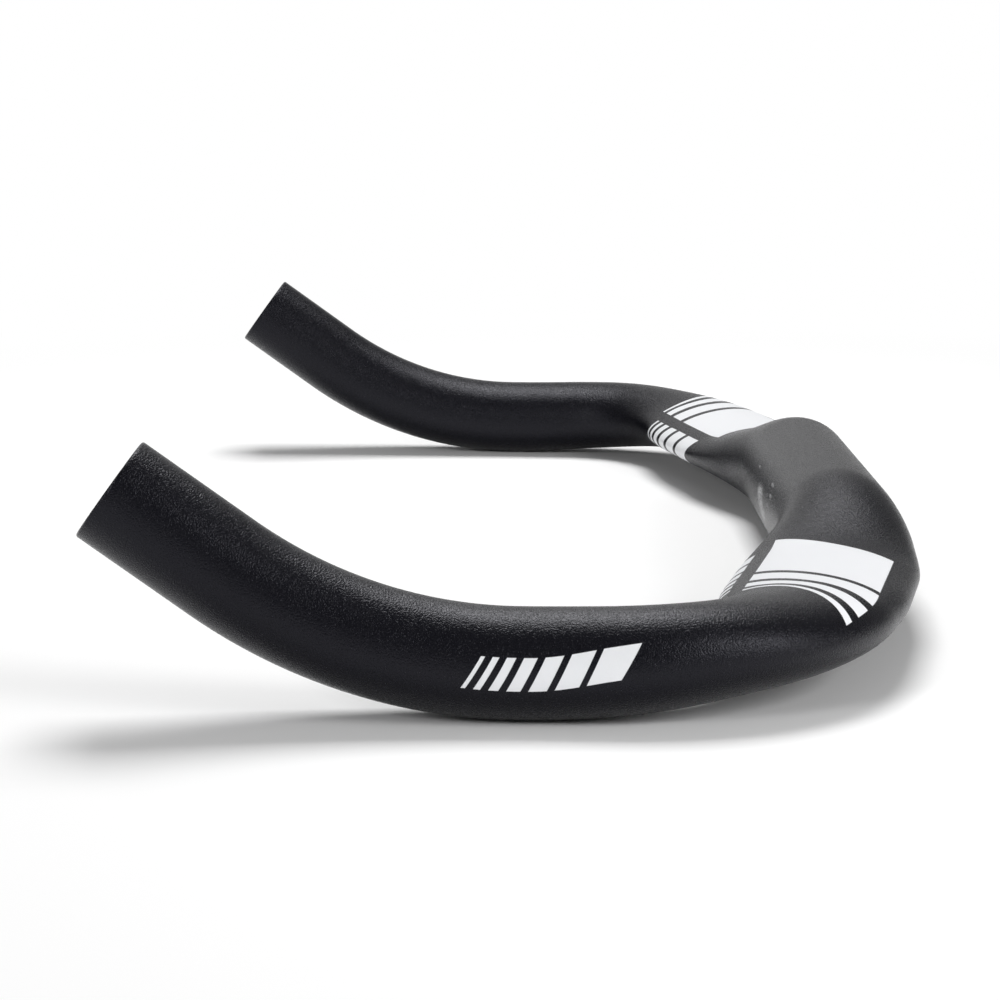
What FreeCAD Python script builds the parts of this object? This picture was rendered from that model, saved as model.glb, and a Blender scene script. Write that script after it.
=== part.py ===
import FreeCAD, Part
import math
import os
import Sketcher
from FreeCAD import Placement, Rotation, Vector

# Time trial base bar: one aluminium tube, drawn round at the middle for the stem, pressed into flat
# wings on both sides, bent forward into two round horns and turned up at the tips. It is hollow from
# end to end. Millimetres and degrees. The middle of the clamp zone is the origin, X runs along the bar to
# the rider's left, the horns point to -Y and Z is up. The clamp's underside and the horns' bellies lie on
# one level.

DIMENSIONS = [
    # the round zone in the middle, for the stem and the extension brackets
    ("clamp_diameter", 31.8),
    ("clamp_length", 88.0),
    ("clamp_wall", 2.6),
    # the round horns
    ("grip_diameter", 23.8),
    ("grip_wall", 1.9),
    # the plan: tip centre to tip centre, clamp axis to tip centres, and the bends between
    ("bar_width", 360.0),
    ("reach", 168.0),
    ("knee_offset", 4.9),
    ("knee_radius", 101.0),
    ("wing_sweep", 13.1),
    ("corner_radius", 47.3),
    ("horn_flare", 0.0),
    # the tips
    ("upturn_radius", 107.6),
    ("upturn_angle", 35.2),
    ("tip_length", 28.2),
    ("tip_edge_radius", 0.6),
    ("bore_chamfer", 0.5),
    # the wing's section, its centre below the clamp axis, and how it banks there and in the corner
    ("wing_chord", 43.6),
    ("wing_thickness", 14.7),
    ("wing_drop", 1.7),
    ("wing_bank", 1.8),
    ("corner_bank", 13.2),
    # from the clamp's end: the lengths over which the tube widens, and flattens and drops
    ("widening_length", 58.0),
    ("flattening_length", 54.5),
    # where the wing becomes the horn: each change starts this far from the corner's start, and leaves this
    # much of the horn's level run
    ("narrowing_start", -20.7),
    ("narrowing_rest", 18.0),
    ("rounding_start", -29.4),
    ("rounding_rest", 1.8),
    ("lowering_start", 23.0),
    ("lowering_rest", 1.5),
]
# the sections of one half, spaced closer together near both ends
SECTION_COUNT = 23
END_CLOSENESS = 0.06

doc = FreeCAD.newDocument("time_trial_base_bar")
sheet = doc.addObject("Spreadsheet::Sheet", "dims")
for row, (alias, size) in enumerate(DIMENSIONS, start=1):
    sheet.set(f"A{row}", alias)
    sheet.set(f"B{row}", str(size))
    sheet.setAlias(f"B{row}", alias)
doc.recompute()


def dim(alias):
    """A driving dimension as a number."""
    return float(sheet.get(alias))


def smooth_step(along, start, length):
    """From 0 to 1 over a length, level at both ends."""
    share = min(max((along - start) / length, 0.0), 1.0)
    return share * share * (3.0 - 2.0 * share)


# The plan of the +X half, from the clamp's end to where the tip turns up, as runs of length and turn.
# Headings are measured from +X towards -Y.
half_clamp = dim("clamp_length") / 2
sweep = math.radians(dim("wing_sweep"))
horn_heading = math.radians(90.0 - dim("horn_flare"))
upturn = math.radians(dim("upturn_angle"))
corner_turn = horn_heading - sweep

knee_end_x = half_clamp + dim("knee_offset") + dim("knee_radius") * math.sin(sweep)
knee_end_y = -dim("knee_radius") * (1.0 - math.cos(sweep))
tip_x = dim("bar_width") / 2
tip_y = -dim("reach")

# the wing's line and the horn's line cross at the corner's vertex
across = tip_x - knee_end_x
ahead = knee_end_y - tip_y
wing_to_vertex = (across * math.sin(horn_heading) - ahead * math.cos(horn_heading)) / math.sin(corner_turn)
vertex_to_tip = (ahead * math.cos(sweep) - across * math.sin(sweep)) / math.sin(corner_turn)
corner_tangent = dim("corner_radius") * math.tan(corner_turn / 2)
upturn_run = dim("upturn_radius") * math.sin(upturn) + dim("tip_length") * math.cos(upturn)

PLAN_RUNS = [
    (dim("knee_offset"), 0.0),
    (dim("knee_radius") * sweep, sweep),
    (wing_to_vertex - corner_tangent, 0.0),
    (dim("corner_radius") * corner_turn, corner_turn),
    (vertex_to_tip - corner_tangent - upturn_run, 0.0),
]
corner_start = sum(length for length, turn in PLAN_RUNS[:3])
loft_length = sum(length for length, turn in PLAN_RUNS)
horn_drop = (dim("clamp_diameter") - dim("grip_diameter")) / 2


def plan_point(along):
    """Place and heading on the plan, this far from the clamp's end."""
    x, y, heading = half_clamp, 0.0, 0.0
    for length, turn in PLAN_RUNS:
        step = min(along, length)
        along -= step
        angle = turn * step / length
        if turn:
            radius = length / turn
            x += radius * (math.sin(heading + angle) - math.sin(heading))
            y -= radius * (math.cos(heading) - math.cos(heading + angle))
        else:
            x += step * math.cos(heading)
            y -= step * math.sin(heading)
        heading += angle
    return x, y, heading


def horn_step(along, change_name):
    """From 0 to 1 as the wing becomes the horn, between the change's named start and its rest."""
    start = corner_start + dim(f"{change_name}_start")
    end = loft_length - dim(f"{change_name}_rest")
    return smooth_step(along, start, end - start)


body = doc.addObject("PartDesign::Body", "base_bar")
body.Label = "base_bar"
origin_planes = {feature.Role: feature for feature in body.Origin.OriginFeatures}


def new_sketch(name, plane, offset=None):
    """A sketch on one of the body's origin planes, shifted and turned by the offset."""
    sketch = body.newObject("Sketcher::SketchObject", name)
    sketch.AttachmentSupport = [(origin_planes[plane], "")]
    sketch.MapMode = "FlatFace"
    if offset:
        sketch.AttachmentOffset = offset
    return sketch


def bind(sketch, constraint, name, expression):
    """Add a dimension to a sketch and tie it to the sheet."""
    index = sketch.addConstraint(constraint)
    sketch.renameConstraint(index, name)
    sketch.setExpression(f"Constraints.{name}", expression)


def add_circle(sketch, name, expression, diameter):
    """A circle about the sketch's origin."""
    circle = sketch.addGeometry(Part.Circle(Vector(), Vector(0, 0, 1), diameter / 2), False)
    sketch.addConstraint(Sketcher.Constraint("Coincident", circle, 3, -1, 1))
    bind(sketch, Sketcher.Constraint("Diameter", circle, diameter), name, expression)


def add_ring(sketch, diameter, wall):
    """The round tube's section, from the names of its diameter and wall in the sheet."""
    bore = dim(diameter) - 2 * dim(wall)
    add_circle(sketch, "outside", f"dims.{diameter}", dim(diameter))
    add_circle(sketch, "bore", f"dims.{diameter} - 2 * dims.{wall}", bore)


def add_ellipse(sketch, name, chord, thickness):
    """An ellipse about the sketch's origin, its long axis level: (expression, size) for each axis."""
    outline = Part.Ellipse(Vector(), chord[1] / 2, thickness[1] / 2)
    ellipse = sketch.addGeometry(outline, False)
    sketch.exposeInternalGeometry(ellipse)
    long_axis, short_axis = ellipse + 1, ellipse + 2
    sketch.addConstraint(Sketcher.Constraint("Coincident", ellipse, 3, -1, 1))
    sketch.addConstraint(Sketcher.Constraint("Horizontal", long_axis))
    long_size = Sketcher.Constraint("Distance", long_axis, chord[1])
    short_size = Sketcher.Constraint("Distance", short_axis, thickness[1])
    bind(sketch, long_size, f"{name}_chord", chord[0])
    bind(sketch, short_size, f"{name}_thickness", thickness[0])


def change(first, second, third, step_in, step_out):
    """A size that goes from the first named size to the second and on to the third: (expression, size)."""
    expression = (
        f"dims.{first} + (dims.{second} - dims.{first}) * {step_in:.6f}"
        f" + (dims.{third} - dims.{second}) * {step_out:.6f}"
    )
    size = dim(first) + (dim(second) - dim(first)) * step_in + (dim(third) - dim(second)) * step_out
    return expression, size


def thinner(outer, wall):
    """The inner size that leaves a wall on both sides: (expression, size)."""
    return f"{outer[0]} - 2 * ({wall[0]})", outer[1] - 2 * wall[1]


def section_place(along):
    """Placement of the tube's section: its first axis forward across the tube, its second upward."""
    x, y, heading = plan_point(along)
    dropped = smooth_step(along, 0.0, dim("flattening_length"))
    lowered = horn_step(along, "lowering")
    z = -dim("wing_drop") * dropped - (horn_drop - dim("wing_drop")) * lowered
    mid_corner = 4 * lowered * (1 - lowered)
    bank = math.radians(dim("wing_bank") * dropped * (1 - lowered) + dim("corner_bank") * mid_corner)
    forward = Vector(-math.sin(heading), -math.cos(heading), 0)
    upward = Vector(0, 0, 1)
    banked_forward = forward * math.cos(bank) - upward * math.sin(bank)
    banked_upward = upward * math.cos(bank) + forward * math.sin(bank)
    turn = Rotation(banked_forward, banked_upward, banked_forward.cross(banked_upward), "XYZ")
    return Placement(Vector(x, y, z), turn)


def wing_section(number):
    """One hollow section of the half between clamp and horn, round at its two ends."""
    share = number / (SECTION_COUNT - 1)
    along = loft_length * (share - END_CLOSENESS * math.sin(2 * math.pi * share))
    sketch = new_sketch(f"section_{number:02d}", "XY_Plane", section_place(along))
    widened = smooth_step(along, 0.0, dim("widening_length"))
    flattened = smooth_step(along, 0.0, dim("flattening_length"))
    narrowed = horn_step(along, "narrowing")
    rounded = horn_step(along, "rounding")
    if number == 0:
        add_ring(sketch, "clamp_diameter", "clamp_wall")
    elif narrowed == 1.0 and rounded == 1.0:
        add_ring(sketch, "grip_diameter", "grip_wall")
    else:
        chord = change("clamp_diameter", "wing_chord", "grip_diameter", widened, narrowed)
        thickness = change("clamp_diameter", "wing_thickness", "grip_diameter", flattened, rounded)
        wall = change("clamp_wall", "grip_wall", "grip_wall", flattened, 0.0)
        add_ellipse(sketch, "outer", chord, thickness)
        add_ellipse(sketch, "inner", thinner(chord, wall), thinner(thickness, wall))
    return sketch


# the +X half of the clamp zone
clamp_sketch = new_sketch("clamp_ring", "YZ_Plane")
add_ring(clamp_sketch, "clamp_diameter", "clamp_wall")
clamp = body.newObject("PartDesign::Pad", "clamp")
clamp.Profile = clamp_sketch
clamp.setExpression("Length", "dims.clamp_length / 2")
doc.recompute()

# the wing and the corner
sections = [wing_section(number) for number in range(SECTION_COUNT)]
doc.recompute()
wing = body.newObject("PartDesign::AdditiveLoft", "wing")
wing.Profile = sections[0]
wing.Sections = sections[1:]
doc.recompute()

# the horn: an arc upward and a straight tip, drawn in the upright plane of its heading
horn_x, horn_y, heading = plan_point(loft_length)
ahead_axis = Vector(math.cos(heading), -math.sin(heading), 0)
side_axis = ahead_axis.cross(Vector(0, 0, 1))
horn_plane = Placement(
    Vector(horn_x, horn_y, -horn_drop),
    Rotation(ahead_axis, Vector(0, 0, 1), side_axis, "XYZ"),
)
spine = new_sketch("horn_line", "XY_Plane", horn_plane)
arc_centre = Vector(0, dim("upturn_radius"), 0)
whole_circle = Part.Circle(arc_centre, Vector(0, 0, 1), dim("upturn_radius"))
bend = spine.addGeometry(Part.ArcOfCircle(whole_circle, -math.pi / 2, -math.pi / 2 + upturn), False)
bend_end = arc_centre + Vector(math.sin(upturn), -math.cos(upturn), 0) * dim("upturn_radius")
tip_end = bend_end + Vector(math.cos(upturn), math.sin(upturn), 0) * dim("tip_length")
tip = spine.addGeometry(Part.LineSegment(bend_end, tip_end), False)
spine.addConstraint(Sketcher.Constraint("Coincident", bend, 1, -1, 1))
spine.addConstraint(Sketcher.Constraint("PointOnObject", bend, 3, -2))
spine.addConstraint(Sketcher.Constraint("Tangent", bend, 2, tip, 1))
bind(spine, Sketcher.Constraint("Radius", bend, dim("upturn_radius")), "radius", "dims.upturn_radius")
bind(spine, Sketcher.Constraint("Angle", tip, upturn), "angle", "dims.upturn_angle * 1 deg")
bind(spine, Sketcher.Constraint("Distance", tip, dim("tip_length")), "length", "dims.tip_length")

horn_ring = new_sketch("horn_ring", "XY_Plane", section_place(loft_length))
add_ring(horn_ring, "grip_diameter", "grip_wall")
doc.recompute()
horn = body.newObject("PartDesign::AdditivePipe", "horn")
horn.Profile = horn_ring
horn.Spine = (spine, ["Edge1", "Edge2"])
doc.recompute()

# the tip's rim: rounded outside, chamfered inside
tip_centre = horn_plane.multVec(tip_end)
SAME_SIZE = 0.01


def rim_edge(feature, radius):
    """The name of the circle of this radius about the tip's centre."""
    for index, edge in enumerate(feature.Shape.Edges, start=1):
        curve = edge.Curve
        if isinstance(curve, Part.Circle) and curve.Center.isEqual(tip_centre, SAME_SIZE):
            if abs(curve.Radius - radius) < SAME_SIZE:
                return f"Edge{index}"
    raise ValueError("the tip has no rim of this radius")


grip_radius = dim("grip_diameter") / 2
rim_round = body.newObject("PartDesign::Fillet", "rim_round")
rim_round.Base = (horn, [rim_edge(horn, grip_radius)])
rim_round.setExpression("Radius", "dims.tip_edge_radius")
doc.recompute()
bore_edge = body.newObject("PartDesign::Chamfer", "bore_edge")
bore_edge.Base = (rim_round, [rim_edge(rim_round, grip_radius - dim("grip_wall"))])
bore_edge.setExpression("Size", "dims.bore_chamfer")
doc.recompute()

# the other half
mirrored = body.newObject("PartDesign::Mirrored", "other_half")
mirrored.TransformMode = "Whole shape"
mirrored.MirrorPlane = (origin_planes["YZ_Plane"], [""])
body.Tip = mirrored
doc.recompute()

for feature in doc.Objects:
    if "Invalid" in feature.State or "Error" in feature.State:
        raise RuntimeError(f"{feature.Name} failed: {feature.State}")
shape = body.Shape
if shape.isNull() or not shape.isValid() or len(shape.Solids) != 1:
    raise RuntimeError("the bar isn't one valid solid")

os.makedirs("parts", exist_ok=True)
shape.exportStep(f"parts/{body.Label}.step")
box = shape.BoundBox
print(f"{body.Label}: {shape.Volume:.0f} mm3, {len(shape.Faces)} faces")
print(f"box {box.XLength:.1f} x {box.YLength:.1f} x {box.ZLength:.1f} mm, lowest {box.ZMin:.2f}")
print(f"tip centre {tip_centre.x:.3f}, {tip_centre.y:.3f}, {tip_centre.z:.3f}")
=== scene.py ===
# %% [markdown]
# # A time trial base bar
# One aluminium tube is drawn round in the middle for the stem, pressed into flat wings, bent forward into
# two round horns and turned up at the tips. It is coated in a fine-grained matt black and printed in white.
# The packed solid gives the place and the size of everything here, in metres.

# %% Load the frame
import math

import bpy
import numpy as np
from mathutils import Matrix, Vector


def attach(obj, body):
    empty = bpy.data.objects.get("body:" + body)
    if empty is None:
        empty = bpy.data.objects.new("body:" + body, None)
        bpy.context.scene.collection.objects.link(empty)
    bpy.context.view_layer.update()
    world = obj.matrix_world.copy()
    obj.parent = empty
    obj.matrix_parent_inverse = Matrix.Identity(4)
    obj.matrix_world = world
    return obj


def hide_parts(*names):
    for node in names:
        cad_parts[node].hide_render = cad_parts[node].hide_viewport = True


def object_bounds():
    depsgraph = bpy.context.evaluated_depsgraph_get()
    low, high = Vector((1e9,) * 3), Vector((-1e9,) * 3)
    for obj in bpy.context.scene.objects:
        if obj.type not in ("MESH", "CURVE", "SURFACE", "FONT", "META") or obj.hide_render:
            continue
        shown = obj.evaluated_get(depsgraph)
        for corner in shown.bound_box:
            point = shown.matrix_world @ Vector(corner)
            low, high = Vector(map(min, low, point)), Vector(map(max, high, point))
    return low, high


MM = 0.001

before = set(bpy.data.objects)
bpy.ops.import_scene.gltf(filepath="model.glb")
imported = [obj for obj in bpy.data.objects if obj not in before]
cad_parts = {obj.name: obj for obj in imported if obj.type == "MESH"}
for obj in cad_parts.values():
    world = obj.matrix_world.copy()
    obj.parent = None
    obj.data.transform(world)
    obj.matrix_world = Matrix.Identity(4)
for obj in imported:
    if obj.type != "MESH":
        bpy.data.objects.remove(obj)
solid_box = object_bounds()
scene = bpy.context.scene
print(len(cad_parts), "node, box", [tuple(round(v, 4) for v in corner) for corner in solid_box])

# %% [markdown]
# ## Camera
# The bar is seen from its left end, a little above it. A camera could be aimed by eye, but here its place,
# its three turns and its focal length were solved from the bar's outline, so it is set by numbers.

# %% Camera
CAMERA_PLACE = Vector((0.70763, -0.08880, 0.12380))
CAMERA_TURN, CAMERA_DIP, CAMERA_ROLL = -0.0024, 0.1751, 0.0121
FOCAL_SHARE = 2.6024

back = Vector((
    math.cos(CAMERA_DIP) * math.cos(CAMERA_TURN),
    math.cos(CAMERA_DIP) * math.sin(CAMERA_TURN),
    math.sin(CAMERA_DIP),
))
level_right = (-back).cross(Vector((0, 0, 1))).normalized()
level_up = level_right.cross(-back)
right = math.cos(CAMERA_ROLL) * level_right + math.sin(CAMERA_ROLL) * level_up
axes = Matrix((right, back.cross(right), back)).transposed()

lens = bpy.data.cameras.new("camera")
lens.sensor_width = 36.0
lens.lens = FOCAL_SHARE * lens.sensor_width
lens.clip_start = 0.01
camera = bpy.data.objects.new("camera", lens)
camera.matrix_world = Matrix.Translation(CAMERA_PLACE) @ axes.to_4x4()
scene.collection.objects.link(camera)
scene.camera = camera
print("camera at", tuple(round(v, 3) for v in CAMERA_PLACE), "lens", round(lens.lens, 2), "mm")

# %% [markdown]
# ## Shader sums as Python
# A finish is a sum of many small masks. Wired by hand in the node editor it soon becomes hard to read, so
# one small class holds an output socket and adds a Math node whenever two of them meet in an expression.

# %% Wires
class Wire:
    """One output socket of a node tree."""

    def __init__(self, tree, socket=None):
        self.tree, self.socket = tree, socket

    def node(self, kind, settings=None, sockets=None, output=0):
        """Add a node of this type: its settings first, then the values or wires of its sockets."""
        made = self.tree.nodes.new(kind)
        for name, value in (settings or {}).items():
            setattr(made, name, value)
        for name, value in (sockets or {}).items():
            if isinstance(value, Wire):
                self.tree.links.new(value.socket, made.inputs[name])
            else:
                made.inputs[name].default_value = value
        return Wire(self.tree, made.outputs[output])

    def math(self, operation, *values):
        """Add a Math node on wires or numbers."""
        return self.node("ShaderNodeMath", {"operation": operation}, dict(enumerate(values)))

    def __add__(self, other):
        return self.math("ADD", self, other)

    def __sub__(self, other):
        return self.math("SUBTRACT", self, other)

    def __rsub__(self, other):
        return self.math("SUBTRACT", other, self)

    def __mul__(self, other):
        return self.math("MULTIPLY", self, other)

    def __truediv__(self, other):
        return self.math("DIVIDE", self, other)

    def __abs__(self):
        return self.math("ABSOLUTE", self)

    def __or__(self, other):
        """The larger of two masks: this one or the other."""
        return self.math("MAXIMUM", self, other)

    def rise(self, low, high):
        """A mask that goes smoothly from 0 at low to 1 at high."""
        return self.node("ShaderNodeMapRange", {"interpolation_type": "SMOOTHSTEP"},
                         {"Value": self, "From Min": low, "From Max": high})

    def between(self, low, high, soft):
        """A mask that is 1 between two values, with edges this soft."""
        return self.rise(low - soft, low + soft) * (1 - self.rise(high - soft, high + soft))

    __radd__, __rmul__ = __add__, __mul__


def new_finish(name):
    """An empty material: the material, a first wire in its tree, and its shader node."""
    material = bpy.data.materials.new(name)
    material.use_nodes = True
    tree = material.node_tree
    return material, Wire(tree), tree.nodes["Principled BSDF"]


print("a wire knows", [name for name, item in vars(Wire).items() if callable(item)])

# %% [markdown]
# ## Floor and background
# The bar lies on a white sweep. A bent sheet could stand for it, but a flat floor that fades into a white
# world looks the same. Near the bar the floor is a pale matt surface, so it keeps the shadow. Further away
# it turns into plain white, so no horizon shows.

# %% Floor
FLOOR_GAP, FLOOR_REACH = 0.05 * MM, 30.0
FLOOR_LEVEL = solid_box[0].z - FLOOR_GAP

floor_mesh = bpy.data.meshes.new("floor")
floor_corners = np.array([(-1, -1), (1, -1), (1, 1), (-1, 1)]) * FLOOR_REACH
floor_mesh.from_pydata([(x, y, FLOOR_LEVEL) for x, y in floor_corners], [], [(0, 1, 2, 3)])
floor = bpy.data.objects.new("floor", floor_mesh)
scene.collection.objects.link(floor)
print("floor at", round(FLOOR_LEVEL / MM, 2), "mm")

# %% The floor's white
FLOOR_WHITE, FLOOR_ROUGHNESS = (0.98, 0.98, 0.98, 1), 0.9
FLOOR_FADE = 0.28, 0.6


def seen(wire, gloss=1.0):
    """A mask of the rays that show a background: from the camera, through glass,
    and off a glossy surface by this share."""
    camera_ray, glossy_ray, glass_ray = (
        wire.node("ShaderNodeLightPath", output=f"Is {kind} Ray")
        for kind in ("Camera", "Glossy", "Transmission"))
    return camera_ray | glass_ray | glossy_ray * gloss


floor_finish, wire, shader = new_finish("floor_white")
tree = floor_finish.node_tree
shader.inputs["Base Color"].default_value = FLOOR_WHITE
shader.inputs["Roughness"].default_value = FLOOR_ROUGHNESS
shader.inputs["Specular IOR Level"].default_value = 0.0
on_floor = wire.node("ShaderNodeTexCoord", output="Object")
distance = wire.node("ShaderNodeVectorMath", {"operation": "LENGTH"}, {0: on_floor}, output="Value")
white = wire.node("ShaderNodeEmission", sockets={"Color": (1, 1, 1, 1), "Strength": 1.0})
faded = wire.node("ShaderNodeMixShader", sockets={
    0: distance.rise(*FLOOR_FADE) * seen(wire), 1: Wire(tree, shader.outputs[0]), 2: white})
tree.links.new(faded.socket, tree.nodes["Material Output"].inputs["Surface"])
floor_mesh.materials.append(floor_finish)
print("floor fades to white between", FLOOR_FADE, "m")

# %% [markdown]
# ## Light
# The bar is lit as on a studio table: a soft lamp overhead, towards the far horn, draws the bright line along
# the top of each horn, and two small weak ones in front lift the near side. A lit sheet could stand behind
# the bar, but here the world is the backdrop. The camera sees it as plain white, a gloss sees it on its own
# side, and everywhere else it is a weak even fill.

# %% Backdrop
FILL, BACKDROP_GLOW = 0.19, 0.72
BACKDROP_SIDE = (-0.94, -0.34, 0.0)
SIDE_FADE, TOP_FADE = (0.7, 0.95), (0.45, 0.85)

world = bpy.data.worlds.new("white_room")
world.use_nodes = True
scene.world = world
wire = Wire(world.node_tree)
towards = wire.node("ShaderNodeTexCoord", output="Generated")
upward = wire.node("ShaderNodeSeparateXYZ", sockets={0: towards}, output="Z")
facing = wire.node("ShaderNodeVectorMath", {"operation": "DOT_PRODUCT"},
                   {0: towards, 1: BACKDROP_SIDE}, output="Value")
backdrop = BACKDROP_GLOW * facing.rise(*SIDE_FADE) * (1 - upward.rise(*TOP_FADE))
strength = FILL + (1 - FILL) * seen(wire, backdrop)
background = world.node_tree.nodes["Background"]
background.inputs["Color"].default_value = (1, 1, 1, 1)
world.node_tree.links.new(strength.socket, background.inputs["Strength"])
print("fill", FILL, "and a backdrop of", BACKDROP_GLOW, "in a gloss")

# %% Lamps
MIDDLE = Vector((0.0, -0.07, 0.0))
LAMPS = [
    ("overhead", (-0.38, -0.07, 0.95), 0.52, 8.8),
    ("front_left", (0.79, -0.72, 0.42), 0.25, 2.6),
    ("front_right", (0.42, 0.36, 0.24), 0.25, 1.6),
]


def soft_lamp(name, spot, size, watts):
    """A square area lamp at a spot, facing the middle of the bar."""
    lamp = bpy.data.lights.new(name, "AREA")
    lamp.size, lamp.energy = size, watts
    made = bpy.data.objects.new(name, lamp)
    aim = (MIDDLE - Vector(spot)).to_track_quat("-Z", "Y")
    made.matrix_world = Matrix.Translation(spot) @ aim.to_matrix().to_4x4()
    scene.collection.objects.link(made)


for lamp_values in LAMPS:
    soft_lamp(*lamp_values)
scene.view_settings.view_transform = "Standard"
print(len(LAMPS), "soft lamps")

# %% [markdown]
# ## The bent line
# The tube follows one line: straight at the clamp, a soft knee, a straight swept wing, a corner, a level run,
# an arc upward and a straight tip. A Blender curve could be drawn through points, but its handles would only
# come near the true arcs. Each run is written as a length and a turn, so the line is exact.

# %% The line of the bar
PLAN_RUNS = [
    (48.9 * MM, 0.0),                    # half of the clamp's straight
    (23.0925 * MM, math.radians(13.1)),  # the knee
    (73.5427 * MM, 0.0),                 # the wing
    (63.4841 * MM, math.radians(76.9)),  # the corner
    (17.5664 * MM, 0.0),                 # the horn's level run
]
UPTURN_RADIUS, UPTURN, TIP_LENGTH = 107.6 * MM, math.radians(35.2), 28.2 * MM
CORNER_START = sum(length for length, turn in PLAN_RUNS[:3])
LEVEL_END = sum(length for length, turn in PLAN_RUNS)
HALF_LENGTH = LEVEL_END + UPTURN_RADIUS * UPTURN + TIP_LENGTH


def plan_line(along):
    """Plan place and heading at distances from the middle, and the length left over past the last run:
    a straight run adds its length along the heading, a bent one the chord of its arc."""
    x, y, heading = np.zeros_like(along), np.zeros_like(along), np.zeros_like(along)
    left = along.copy()
    for length, turn in PLAN_RUNS:
        step = np.clip(left, 0, length)
        left = left - step
        angle = turn * step / length
        if turn:
            radius = length / turn
            x += radius * (np.sin(heading + angle) - np.sin(heading))
            y -= radius * (np.cos(heading) - np.cos(heading + angle))
        else:
            x += step * np.cos(heading)
            y -= step * np.sin(heading)
        heading = heading + angle
    return x, y, heading, left


print("line of", round(2 * HALF_LENGTH / MM, 1), "mm from tip to tip")

# %% [markdown]
# ## The section
# The tube is round at the clamp and in the horns and a flat ellipse in the wings. A few sections could be
# drawn by hand and bridged, but the bridge would show its joints. Here the width, the thickness, the height
# and the bank each change over their own length, by the same smooth step.

# %% The section along the bar
CLAMP_DIAMETER, GRIP_DIAMETER = 31.8 * MM, 23.8 * MM
WING_WIDTH, WING_THICKNESS = 43.6 * MM, 14.7 * MM
CLAMP_WALL, TUBE_WALL = 2.6 * MM, 1.9 * MM
WING_HEIGHT, HORN_HEIGHT = -1.7 * MM, (GRIP_DIAMETER - CLAMP_DIAMETER) / 2
WING_BANK, CORNER_BANK = math.radians(1.8), math.radians(13.2)

CLAMP_END = 44.0 * MM
WIDENING = CLAMP_END, CLAMP_END + 58 * MM
FLATTENING = CLAMP_END, CLAMP_END + 54.5 * MM
NARROWING = CORNER_START - 20.7 * MM, LEVEL_END - 18 * MM
ROUNDING = CORNER_START - 29.4 * MM, LEVEL_END - 1.8 * MM
LOWERING = CORNER_START + 23 * MM, LEVEL_END - 1.5 * MM


def smooth(value, start, end):
    """From 0 at the start to 1 at the end: 3 t squared less 2 t cubed."""
    share = np.clip((value - start) / (end - start), 0, 1)
    return share * share * (3 - 2 * share)


def in_turn(clamp, wing, horn, step_in, step_out):
    """A size that goes from the clamp's to the wing's and on to the horn's."""
    return clamp + (wing - clamp) * step_in + (horn - wing) * step_out


def section(along):
    """Width, thickness, centre height, bank and wall of the tube at distances from the middle. In the
    corner the bank is a hump: four times the share lowered, times the share still to go."""
    widened, flattened = smooth(along, *WIDENING), smooth(along, *FLATTENING)
    narrowed, rounded = smooth(along, *NARROWING), smooth(along, *ROUNDING)
    lowered = smooth(along, *LOWERING)
    width = in_turn(CLAMP_DIAMETER, WING_WIDTH, GRIP_DIAMETER, widened, narrowed)
    thickness = in_turn(CLAMP_DIAMETER, WING_THICKNESS, GRIP_DIAMETER, flattened, rounded)
    height = in_turn(0.0, WING_HEIGHT, HORN_HEIGHT, flattened, lowered)
    bank = (WING_BANK * flattened + CORNER_BANK * 4 * lowered) * (1 - lowered)
    wall = CLAMP_WALL + (TUBE_WALL - CLAMP_WALL) * flattened
    return width, thickness, height, bank, wall


shown_widths, shown_thicknesses = section(np.array([0.0, WIDENING[1], HALF_LENGTH]))[:2]
print("clamp, wing and tip", np.round(shown_widths / MM, 1), "by", np.round(shown_thicknesses / MM, 1), "mm")

# %% [markdown]
# ## The skin
# A tube could be swept with a bevelled curve, but a bevel keeps one section. Here the whole skin is one grid.
# One parameter goes round the section. The other goes along the outside from tip to tip, round the rim, back
# along the bore and round the other rim, so the grid closes on itself both ways and has no open edge.

# %% Stations along the skin
EDGE_RADIUS, BORE_CHAMFER = 0.6 * MM, 0.5 * MM
FACE_RINGS = [0.8 * MM, 1.1 * MM, TUBE_WALL - BORE_CHAMFER]
OUTSIDE_STEPS, BORE_STEPS, EDGE_STEPS = 660, 200, 7

outside = np.linspace(-1, 1, OUTSIDE_STEPS) * (HALF_LENGTH - EDGE_RADIUS)
bore = np.linspace(1, -1, BORE_STEPS) * (HALF_LENGTH - BORE_CHAMFER)
edge_turn = np.linspace(0, math.pi / 2, EDGE_STEPS)[1:]
rim = np.concatenate([HALF_LENGTH - EDGE_RADIUS * (1 - np.sin(edge_turn)), [HALF_LENGTH] * len(FACE_RINGS)])
rim_inset = np.concatenate([EDGE_RADIUS * (1 - np.cos(edge_turn)), FACE_RINGS])
bore_wall = section(np.abs(bore))[-1]
stations = np.concatenate([outside, rim, bore, -rim[::-1]])
insets = np.concatenate([0 * outside, rim_inset, bore_wall, rim_inset[::-1]])
in_bore = np.concatenate([0 * outside, 0 * rim, 0 * bore + 1, 0 * rim])
print(len(stations), "stations round the skin")

# %% The skin's points
AROUND = 100


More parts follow.
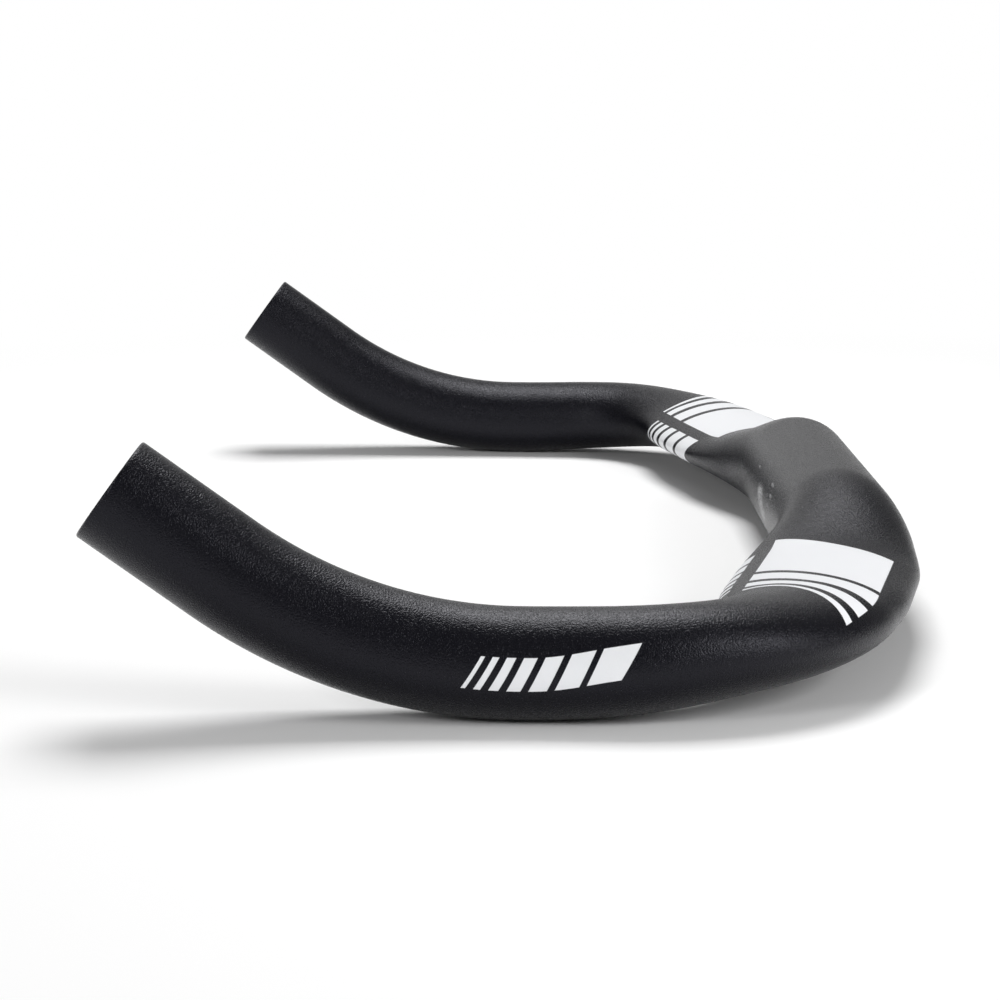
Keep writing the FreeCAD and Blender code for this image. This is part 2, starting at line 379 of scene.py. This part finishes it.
def skin_points(along, inset, angle):
    """Points of the skin: the line's place, plus the half width less the inset times the cosine of the angle
    forward, plus the half thickness less the inset times its sine upward. The -X half is the mirror image."""
    far = np.abs(along)
    x, y, heading, left = plan_line(far)
    width, thickness, height, bank, _ = section(far)
    rising = np.clip(left / UPTURN_RADIUS, 0, UPTURN)
    straight = np.clip(left - UPTURN_RADIUS * UPTURN, 0, None)
    run = UPTURN_RADIUS * np.sin(rising) + straight * np.cos(rising)
    lift = UPTURN_RADIUS * (1 - np.cos(rising)) + straight * np.sin(rising)
    nought = 0 * far
    ahead = np.stack([np.cos(heading), -np.sin(heading), nought], -1)
    across = np.stack([-np.sin(heading), -np.cos(heading), nought], -1)
    up = np.stack([nought, nought, np.cos(rising)], -1) - ahead * np.sin(rising)[:, None]
    tilt, lean = np.cos(bank)[:, None], np.sin(bank)[:, None]
    across, up = across * tilt - up * lean, up * tilt + across * lean
    centre = np.stack([x, y, height + lift], -1) + ahead * run[:, None]
    forward = (width / 2 - inset)[:, None] * np.cos(angle)
    above = (thickness / 2 - inset)[:, None] * np.sin(angle)
    points = centre[:, None] + forward[..., None] * across[:, None] + above[..., None] * up[:, None]
    points[..., 0] *= np.where(along < 0, -1, 1)[:, None]
    return points, forward, above


angles = np.arange(AROUND) * 2 * math.pi / AROUND - math.pi / 2
points, forward, above = skin_points(stations, insets, angles)
print("skin box", points.min((0, 1)).round(4), points.max((0, 1)).round(4))

# %% [markdown]
# ## The mesh
# Every print and scuff follows the tube. They could be projected from outside, but that would stretch them
# round the sides. So each point also carries its own place on the tube: the distance along the bar, how far
# forward of the line and how far above it. A finish can then be drawn in millimetres along the bar. A UV map
# goes with it, once round and once along.

# %% A closed grid
def closed_grid(name, points):
    """A mesh from a grid that closes on itself both ways, one quad between four neighbours."""
    rows, columns = points.shape[:2]
    index = np.arange(rows * columns).reshape(rows, columns)
    after, beside = np.roll(index, -1, 0), np.roll(index, -1, 1)
    quads = np.stack([index, after, np.roll(after, -1, 1), beside], -1).reshape(-1, 4)
    mesh = bpy.data.meshes.new(name)
    mesh.vertices.add(rows * columns)
    mesh.vertices.foreach_set("co", points.astype(np.float32).ravel())
    mesh.loops.add(quads.size)
    mesh.loops.foreach_set("vertex_index", quads.astype(np.int32).ravel())
    mesh.polygons.add(len(quads))
    mesh.polygons.foreach_set("loop_start", np.arange(0, quads.size, 4, dtype=np.int32))
    mesh.update(calc_edges=True)
    mesh.shade_smooth()
    row, column = np.divmod(np.arange(len(quads)), columns)
    u = np.stack([column, column, column + 1, column + 1], -1) / columns
    v = np.stack([row, row + 1, row + 1, row], -1) / rows
    uv = mesh.uv_layers.new(name="round_and_along")
    uv.data.foreach_set("uv", np.stack([u, v], -1).astype(np.float32).ravel())
    return mesh


bar_mesh = closed_grid("base_bar_skin", points)
print(len(bar_mesh.polygons), "quads in the skin")

# %% The bar
on_tube = np.stack([np.broadcast_to(stations[:, None], forward.shape), forward, above], -1)
bar_mesh.attributes.new("on_tube", "FLOAT_VECTOR", "POINT").data.foreach_set(
    "vector", on_tube.astype(np.float32).ravel())
bar_mesh.attributes.new("in_bore", "FLOAT", "POINT").data.foreach_set(
    "value", np.repeat(in_bore, AROUND).astype(np.float32))
bar = bpy.data.objects.new("base_bar_skin", bar_mesh)
scene.collection.objects.link(bar)
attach(bar, "root")
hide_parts("base_bar")
outward = np.cross(np.roll(points, -1, 0) - points, np.roll(points, -1, 1) - points)
print("metal in the skin", round(float((outward * points).sum() / 3) / MM ** 3 / 1000, 1), "cm3")

# %% [markdown]
# ## The finish
# The tube is blasted and coated in matt black, which leaves a fine leathery grain that catches the light. An
# image of the grain could be mapped on, but noise in the bar's own space has no seams and fits any size.

# %% Places for the finish
GRAIN_SIZE, FINE_GRAIN_SIZE, CLOUD_SIZE = 0.9 * MM, 0.34 * MM, 30 * MM

bar_finish, wire, shader = new_finish("bar_finish")
tree = bar_finish.node_tree
place = wire.node("ShaderNodeTexCoord", output="Object")
tube = wire.node("ShaderNodeAttribute", {"attribute_name": "on_tube"}, output="Vector")
bare = wire.node("ShaderNodeAttribute", {"attribute_name": "in_bore"}, output="Fac")
along, ahead, over = (wire.node("ShaderNodeSeparateXYZ", sockets={0: tube}, output=axis) for axis in "XYZ")
far = abs(along)


def speckle(vector, size, detail=2.0):
    """Noise over a vector, from 0 to 1, with grains about this large in metres."""
    return wire.node("ShaderNodeTexNoise", sockets={"Vector": vector, "Scale": 1 / size, "Detail": detail})


grain, fine_grain = speckle(place, GRAIN_SIZE), speckle(place, FINE_GRAIN_SIZE, 1.0)
cloud = speckle(place, CLOUD_SIZE)
print("grain of", GRAIN_SIZE / MM, "and", FINE_GRAIN_SIZE / MM, "mm")

# %% [markdown]
# ## The print
# A run of slanted white bars that grow thinner is printed on the top and the front of each wing and on the
# outer side of each horn. They could be decals just above the surface, but a print has next to no thickness,
# so they are masks on the tube's own measures.

# %% Slanted bars
INK_EDGE, SIDE_EDGE = 0.06 * MM, 0.2 * MM
TOP_SLANT, SIDE_SLANT = 0.55, 0.5
WING_BARS, WING_LIMITS = [(95, 132), (135, 143), (146, 150.5), (153, 155)], (-16, 14)
HORN_BARS, HORN_LIMITS = [
    (205, 211.5), (213, 218), (219.6, 223.4), (225, 227.8), (229.4, 231.4), (233, 234.4), (236, 236.9),
], (-3.2, 3.8)
NOSE_BARS, NOSE_LIMITS = [
    (98, 108), (110.5, 118), (120.5, 126), (128.5, 132.5), (135, 137.8), (140.3, 142),
], (-3.4, 4.2)


def slanted_bars(bars, slant, across, limits):
    """Bars between pairs of millimetres along the bar, slanted by a share of the measure across it and
    cut off at two limits of that measure."""
    measure, mask = far + slant * across, 0.0
    for first, last in bars:
        mask = measure.between(first * MM, last * MM, INK_EDGE) | mask
    low, high = limits
    return mask * across.between(low * MM, high * MM, INK_EDGE)


wing_mark = slanted_bars(WING_BARS, TOP_SLANT, ahead, WING_LIMITS) * over.rise(0.0, SIDE_EDGE)
horn_mark = slanted_bars(HORN_BARS, SIDE_SLANT, over, HORN_LIMITS) * (1 - ahead.rise(-SIDE_EDGE, 0.0))
nose_mark = slanted_bars(NOSE_BARS, SIDE_SLANT, over, NOSE_LIMITS) * ahead.rise(0.0, SIDE_EDGE)
ink = (wing_mark | horn_mark | nose_mark) * (1 - bare)
print("bars on each wing, horn and nose:", len(WING_BARS), len(HORN_BARS), len(NOSE_BARS))

# %% [markdown]
# ## Wear
# A stem's faceplate has rubbed the front of the clamp zone: one long pale scrape and a few chips. They could
# be painted on by hand, but a short list of ovals with ragged edges keeps each one at its measured place.
# Noise drawn out along the bar breaks them up into fine scratches.

# %% Scrapes and chips
# Each one: its middle along the bar and above the line, its half length and half height in mm, its strength.
SCRAPES = [(3.2, 2.3, 8.0, 2.4, 0.95), (6.5, 0.2, 8.0, 2.7, 0.85), (13.0, -2.2, 9.0, 2.9, 0.65)]
CHIPS = [(-12.6, 6.8, 3.4, 0.4, 0.6), (20.4, 7.2, 3.4, 0.6, 0.8), (24.5, 4.9, 3.4, 0.6, 0.8),
         (23.6, 2.1, 3.4, 0.5, 0.8)]
RAGGED_SIZE, RAGGED_SHARE, RAGGED_EDGE = 1.6 * MM, 1.3, (0.5, 1.7)
SCRATCH_SIZE, DRAWN_OUT, SCRATCH_EDGE = 0.5 * MM, (0.12, 1, 1), (0.4, 0.6)
RUBBED, SCRATCHED, FRONT_EDGE = 0.4, 0.7, 1.0 * MM

ragged = speckle(place, RAGGED_SIZE)
drawn_out = wire.node("ShaderNodeVectorMath", {"operation": "MULTIPLY"}, {0: tube, 1: DRAWN_OUT})
scratches = speckle(drawn_out, SCRATCH_SIZE).rise(*SCRATCH_EDGE)


def oval(middle, height, half_length, half_height, strength):
    """A ragged oval on the bar: 1 within, 0 where the squares of its two measures and the noise add up."""
    aside = (along - middle * MM) / (half_length * MM)
    above = (over - height * MM) / (half_height * MM)
    return (1 - (aside * aside + above * above + RAGGED_SHARE * ragged).rise(*RAGGED_EDGE)) * strength


worn = 0.0
for scuff in SCRAPES + CHIPS:
    worn = oval(*scuff) | worn
on_front = ahead.rise(0.0, FRONT_EDGE) * (1 - bare)
worn = worn * (RUBBED + SCRATCHED * scratches) * on_front
print(len(SCRAPES), "scrapes and", len(CHIPS), "chips")

# %% [markdown]
# ## Colour, gloss and grain together
# The black is never quite even: it is a little greyer where the coat is thin. The ink is smoother than the
# coat, and the bore is bare dull metal. Each could be a material of its own on its own faces, but then every
# print would need its edges cut into the mesh, so one material mixes them by their masks.

# %% Colours
THICK_COAT, THIN_COAT = (0.0025, 0.0025, 0.0044, 1), (0.0034, 0.0034, 0.0056, 1)
RUBBED_COAT, WHITE_INK = (0.42, 0.42, 0.43, 1), (0.84, 0.85, 0.87, 1)
BARE_METAL = (0.36, 0.36, 0.37, 1)


def mix(share, first, second):
    """A colour between two others."""
    return wire.node("ShaderNodeMix", {"data_type": "RGBA"}, {0: share, 6: first, 7: second}, output=2)


coat = mix(worn, mix(cloud, THICK_COAT, THIN_COAT), RUBBED_COAT)
colour = mix(bare, mix(ink, coat, WHITE_INK), BARE_METAL)
print("coat, wear, ink and bare metal mixed")

# %% Put the finish together
GRAIN_SHARE, FINE_SHARE, GRAIN_DEPTH = 0.15, 0.85, 0.18 * MM
FILLED_BY_INK = 0.6
COAT_ROUGHNESS, GRAIN_ROUGHNESS, INK_ROUGHNESS = 0.23, 0.1, 0.12
COAT_GLOSS, COAT_TINT = 0.23, (0.9, 0.9, 1.0, 1)
BORE_METALLIC = 0.9

relief = (grain * GRAIN_SHARE + fine_grain * FINE_SHARE) * (1 - FILLED_BY_INK * ink)
bump = wire.node("ShaderNodeBump", sockets={"Strength": 1.0, "Distance": GRAIN_DEPTH, "Height": relief})
roughness = COAT_ROUGHNESS + GRAIN_ROUGHNESS * fine_grain + INK_ROUGHNESS * ink
metallic = bare * BORE_METALLIC
varying = {"Base Color": colour, "Roughness": roughness, "Metallic": metallic, "Normal": bump}
for socket, value in varying.items():
    tree.links.new(value.socket, shader.inputs[socket])
shader.inputs["Specular IOR Level"].default_value = COAT_GLOSS
shader.inputs["Specular Tint"].default_value = COAT_TINT
bar_mesh.materials.append(bar_finish)
print(len(tree.nodes), "nodes in the finish")

# %% [markdown]
# ## Sizes and the end
# The dressed bar has to keep the solid's box.
